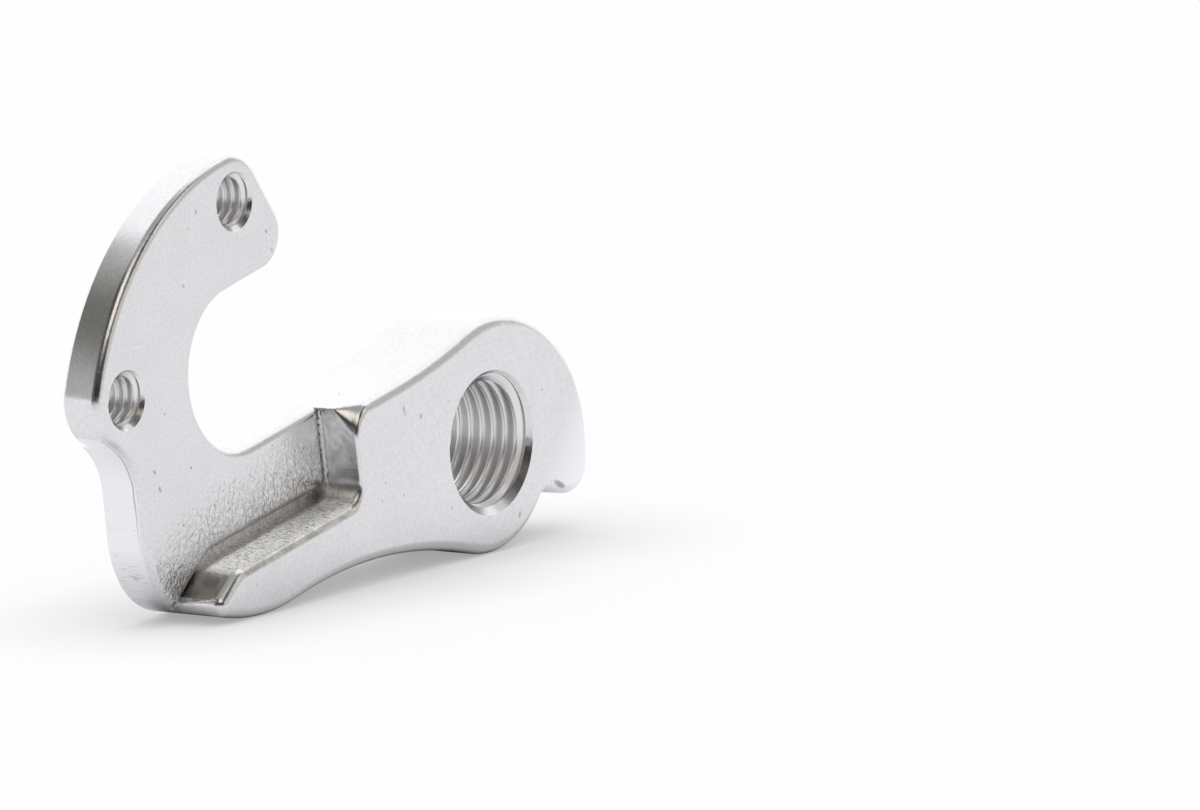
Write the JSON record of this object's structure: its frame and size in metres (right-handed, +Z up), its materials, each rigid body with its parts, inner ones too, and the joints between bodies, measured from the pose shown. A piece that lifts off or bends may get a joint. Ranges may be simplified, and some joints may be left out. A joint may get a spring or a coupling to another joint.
{
  "type": "bicycle derailleur hanger",
  "caption": "One-piece hooked metal hanger with an open axle slot, a stepped seat for the frame's dropout, threaded fixing holes and a boss with a large thread and a stop tab.",
  "frame": {"origin": "middle of the derailleur's thread, on its axis, half way through the boss", "axes": "+X from the hook to the stop tab, +Z up, +Y from the outer side of the bicycle towards its wheel, so -Y is the side the derailleur's bolt comes from"},
  "size_m": [0.0547, 0.0074, 0.0319],
  "materials": {
    "aluminium": "forged, milled at the seat and tumbled to a satin sheen"
  },
  "bodies": {
    "root": {"hanger": "aluminium"}
  },
  "joints": []
}
